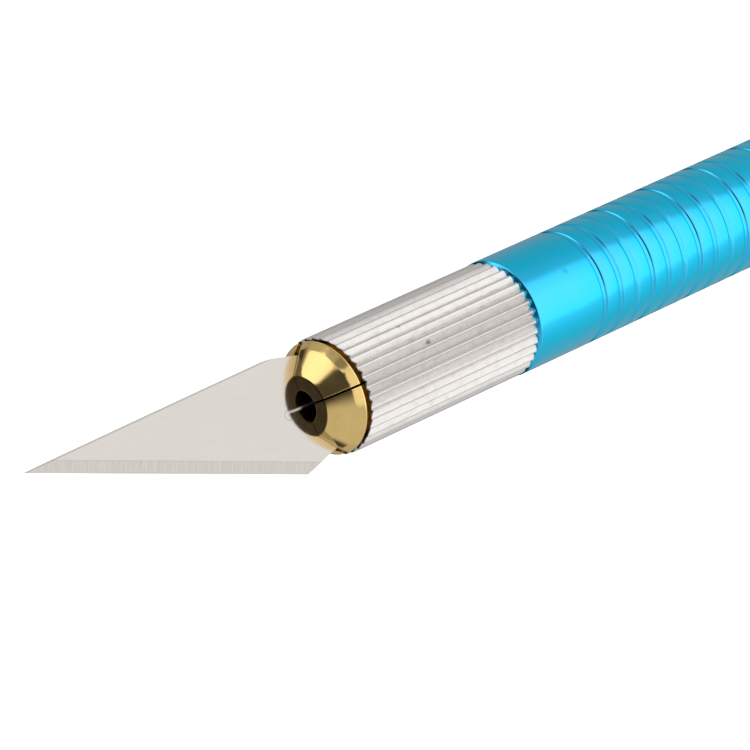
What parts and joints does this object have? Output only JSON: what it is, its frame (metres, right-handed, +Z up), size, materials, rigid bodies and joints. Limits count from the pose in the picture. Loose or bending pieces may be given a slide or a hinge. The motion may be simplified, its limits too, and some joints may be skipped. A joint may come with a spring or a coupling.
{
  "type": "hobby craft knife",
  "caption": "Slim craft knife with a round metal handle, grip rings, a fluted clamping sleeve, a split brass collet and a pointed replaceable blade.",
  "frame": {"origin": "bottom centre of the box around the knife, lying on its handle with the blade flat", "axes": "+X from the blade's point toward the handle's tail, +Z up out of the blade's flat side, cutting edge toward -Y"},
  "size_m": [0.1484, 0.009, 0.009],
  "materials": {
    "blue_anodised_aluminium": "glossy blue anodising",
    "turned_aluminium": "bare, machined",
    "brass": "turned, bright",
    "ground_steel": "fine ground"
  },
  "bodies": {
    "handle": {"handle_barrel": "blue_anodised_aluminium"},
    "sleeve": {"clamping_sleeve": "turned_aluminium"},
    "collet": {"collet_shank": "brass"},
    "jaw_upper_spine": {"collet_jaw_upper_spine_side": "brass"},
    "jaw_upper_edge": {"collet_jaw_upper_edge_side": "brass"},
    "jaw_lower_spine": {"collet_jaw_lower_spine_side": "brass"},
    "jaw_lower_edge": {"collet_jaw_lower_edge_side": "brass"},
    "blade": {"blade": "ground_steel"}
  },
  "joints": [
    {"name": "sleeve_turn", "type": "hinge", "parent": "handle", "child": "sleeve", "pos_m": [-0.02879, 0, 0.0045], "axis": [-1, 0, 0], "range_deg": [0, 540]},
    {"name": "collet_draw", "type": "slide", "parent": "sleeve", "child": "collet", "axis": [-1, 0, 0], "range_m": [0, 0.0012]},
    {"name": "jaw_upper_spine_flex", "type": "hinge", "parent": "collet", "child": "jaw_upper_spine", "pos_m": [-0.0337, 0.00223, 0.00673], "axis": [0, 0.7071, -0.7071], "range_deg": [0, 1.5]},
    {"name": "jaw_upper_edge_flex", "type": "hinge", "parent": "collet", "child": "jaw_upper_edge", "pos_m": [-0.0337, -0.00223, 0.00673], "axis": [0, 0.7071, 0.7071], "range_deg": [0, 1.5]},
    {"name": "jaw_lower_spine_flex", "type": "hinge", "parent": "collet", "child": "jaw_lower_spine", "pos_m": [-0.0337, 0.00223, 0.00227], "axis": [0, -0.7071, -0.7071], "range_deg": [0, 1.5]},
    {"name": "jaw_lower_edge_flex", "type": "hinge", "parent": "collet", "child": "jaw_lower_edge", "pos_m": [-0.0337, -0.00223, 0.00227], "axis": [0, -0.7071, 0.7071], "range_deg": [0, 1.5]},
    {"name": "blade_slide", "type": "slide", "parent": "collet", "child": "blade", "axis": [-1, 0, 0], "range_m": [0, 0.016]}
  ],
  "couplings": [
    {"joint": "sleeve_turn", "follows": "collet_draw", "rad_per_m": 7853.9},
    {"joint": "jaw_upper_spine_flex", "follows": "collet_draw", "rad_per_m": 21.815},
    {"joint": "jaw_upper_edge_flex", "follows": "collet_draw", "rad_per_m": 21.815},
    {"joint": "jaw_lower_spine_flex", "follows": "collet_draw", "rad_per_m": 21.815},
    {"joint": "jaw_lower_edge_flex", "follows": "collet_draw", "rad_per_m": 21.815}
  ]
}
